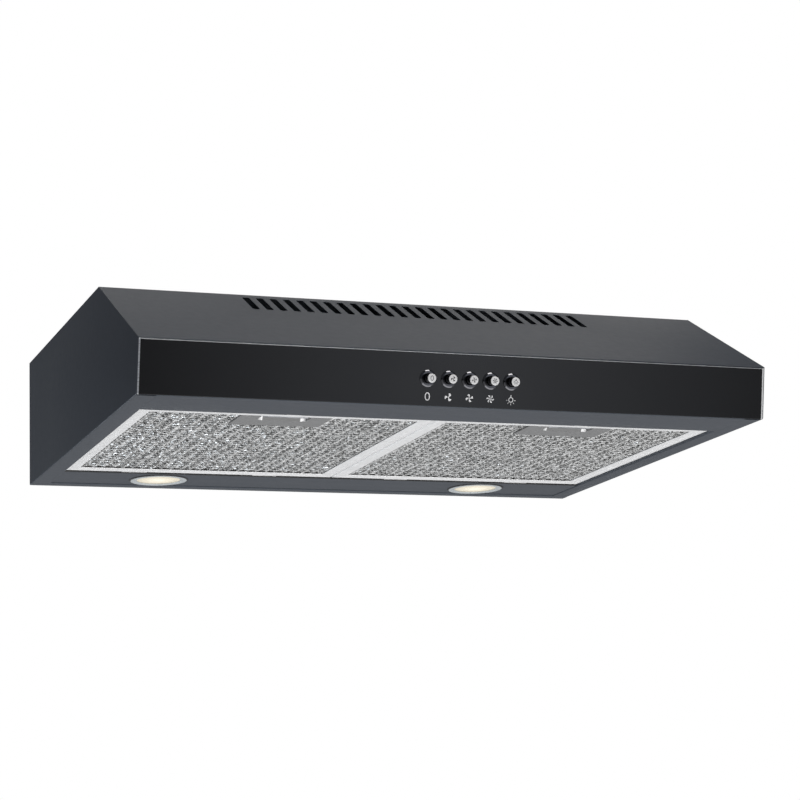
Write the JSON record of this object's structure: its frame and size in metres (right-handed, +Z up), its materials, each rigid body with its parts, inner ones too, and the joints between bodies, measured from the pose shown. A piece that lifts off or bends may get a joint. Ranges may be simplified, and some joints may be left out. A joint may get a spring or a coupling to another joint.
{
  "type": "under cabinet range hood",
  "caption": "Slim under-cabinet kitchen hood with a sloped vented front, glass control strip with push buttons, two lamps, grease filters and twin blowers.",
  "frame": {"origin": "the middle of the top face's rear edge, where the top meets the wall plane", "axes": "+X to the hood's right seen from the front, +Y into the wall, +Z up out of the top face"},
  "size_m": [0.7, 0.5477, 0.19],
  "materials": {
    "dark_powder_coat": "satin",
    "black_glass": "gloss",
    "trim_aluminium": "satin",
    "filter_aluminium": "satin",
    "mesh_aluminium": "satin",
    "latch_grey": "satin",
    "galvanised_steel": "satin",
    "bright_chrome": "polished",
    "black_plastic": "matte",
    "white_plastic": "satin",
    "rotor_plastic": "satin",
    "lamp_diffuser": "satin",
    "lamp_trim_metal": "satin",
    "motor_steel": "satin",
    "wire_insulation": "matte",
    "spring_steel": "gloss"
  },
  "bodies": {
    "canopy": {"canopy_sheet": "dark_powder_coat", "rear_panel": "dark_powder_coat", "side_panel_left": "dark_powder_coat", "side_panel_right": "dark_powder_coat", "front_rail": "dark_powder_coat", "lamp_panel": "dark_powder_coat", "front_glass": "black_glass", "top_trim": "trim_aluminium", "end_trim_left": "trim_aluminium", "end_trim_right": "trim_aluminium", "button_bezels": "bright_chrome", "switch_block": "black_plastic", "switch_bracket": "galvanised_steel", "led_driver": "white_plastic", "outlet_box": "galvanised_steel", "vent_duct": "galvanised_steel", "duct_collar": "black_plastic", "capacitor": "white_plastic", "terminal_box": "white_plastic", "cable_grommet": "wire_insulation", "wiring_harness": "wire_insulation", "fasteners": "bright_chrome", "lamp_trim_left": "lamp_trim_metal", "lamp_lens_left": "lamp_diffuser", "lamp_housing_left": "trim_aluminium", "scroll_band_left": "galvanised_steel", "inlet_plate_left": "galvanised_steel", "motor_plate_left": "galvanised_steel", "motor_left": "motor_steel", "inlet_grille_left": "black_plastic", "lamp_trim_right": "lamp_trim_metal", "lamp_lens_right": "lamp_diffuser", "lamp_housing_right": "trim_aluminium", "scroll_band_right": "galvanised_steel", "inlet_plate_right": "galvanised_steel", "motor_plate_right": "galvanised_steel", "motor_right": "motor_steel", "inlet_grille_right": "black_plastic"},
    "filter_left": {"filter_frame_left": "filter_aluminium", "filter_mesh_left": "mesh_aluminium", "latch_plate_left": "latch_grey", "latch_spring_left": "spring_steel"},
    "latch_left": {"latch_slide_left": "galvanised_steel"},
    "filter_right": {"filter_frame_right": "filter_aluminium", "filter_mesh_right": "mesh_aluminium", "latch_plate_right": "latch_grey", "latch_spring_right": "spring_steel"},
    "latch_right": {"latch_slide_right": "galvanised_steel"},
    "off_button": {"button_off": "bright_chrome"},
    "speed_1_button": {"button_speed_1": "bright_chrome"},
    "speed_2_button": {"button_speed_2": "bright_chrome"},
    "speed_3_button": {"button_speed_3": "bright_chrome"},
    "light_button": {"button_light": "bright_chrome"},
    "rotor_left": {"impeller_left": "rotor_plastic"},
    "rotor_right": {"impeller_right": "rotor_plastic"},
    "damper_front": {"damper_flap_front": "rotor_plastic"},
    "damper_rear": {"damper_flap_rear": "rotor_plastic"},
    "changeover": {"changeover_flap": "black_plastic"}
  },
  "joints": [
    {"name": "filter_tilt_left", "type": "hinge", "parent": "canopy", "child": "filter_left", "pos_m": [-0.1641, -0.0902, -0.1464], "axis": [1, 0, 0], "range_deg": [0, 75]},
    {"name": "latch_pull_left", "type": "slide", "parent": "filter_left", "child": "latch_left", "axis": [0, 1, 0], "range_m": [0, 0.006], "stiffness_N_per_m": 400, "springref_m": -0.004},
    {"name": "filter_tilt_right", "type": "hinge", "parent": "canopy", "child": "filter_right", "pos_m": [0.1641, -0.0902, -0.1464], "axis": [1, 0, 0], "range_deg": [0, 75]},
    {"name": "latch_pull_right", "type": "slide", "parent": "filter_right", "child": "latch_right", "axis": [0, 1, 0], "range_m": [0, 0.006], "stiffness_N_per_m": 400, "springref_m": -0.004},
    {"name": "press_off", "type": "slide", "parent": "canopy", "child": "off_button", "axis": [0, 0.9812, 0.1927], "range_m": [0, 0.004], "stiffness_N_per_m": 500, "springref_m": -0.002},
    {"name": "press_speed_1", "type": "slide", "parent": "canopy", "child": "speed_1_button", "axis": [0, 0.9812, 0.1927], "range_m": [0, 0.004], "stiffness_N_per_m": 500, "springref_m": -0.002},
    {"name": "press_speed_2", "type": "slide", "parent": "canopy", "child": "speed_2_button", "axis": [0, 0.9812, 0.1927], "range_m": [0, 0.004], "stiffness_N_per_m": 500, "springref_m": -0.002},
    {"name": "press_speed_3", "type": "slide", "parent": "canopy", "child": "speed_3_button", "axis": [0, 0.9812, 0.1927], "range_m": [0, 0.004], "stiffness_N_per_m": 500, "springref_m": -0.002},
    {"name": "press_light", "type": "slide", "parent": "canopy", "child": "light_button", "axis": [0, 0.9812, 0.1927], "range_m": [0, 0.004], "stiffness_N_per_m": 500, "springref_m": -0.002},
    {"name": "rotor_spin_left", "type": "hinge", "parent": "canopy", "child": "rotor_left", "pos_m": [-0.165, -0.215, -0.055], "axis": [0, 0, 1], "continuous": true},
    {"name": "rotor_spin_right", "type": "hinge", "parent": "canopy", "child": "rotor_right", "pos_m": [0.165, -0.215, -0.055], "axis": [0, 0, 1], "continuous": true},
    {"name": "damper_lift_front", "type": "hinge", "parent": "canopy", "child": "damper_front", "pos_m": [0, -0.1435, 0.006], "axis": [-1, 0, 0], "range_deg": [0, 75]},
    {"name": "damper_lift_rear", "type": "hinge", "parent": "canopy", "child": "damper_rear", "pos_m": [0, -0.1365, 0.006], "axis": [1, 0, 0], "range_deg": [0, 75]},
    {"name": "changeover_swing", "type": "hinge", "parent": "canopy", "child": "changeover", "pos_m": [0, -0.298, -0.009], "axis": [-1, 0, 0], "range_deg": [0, 40]}
  ]
}
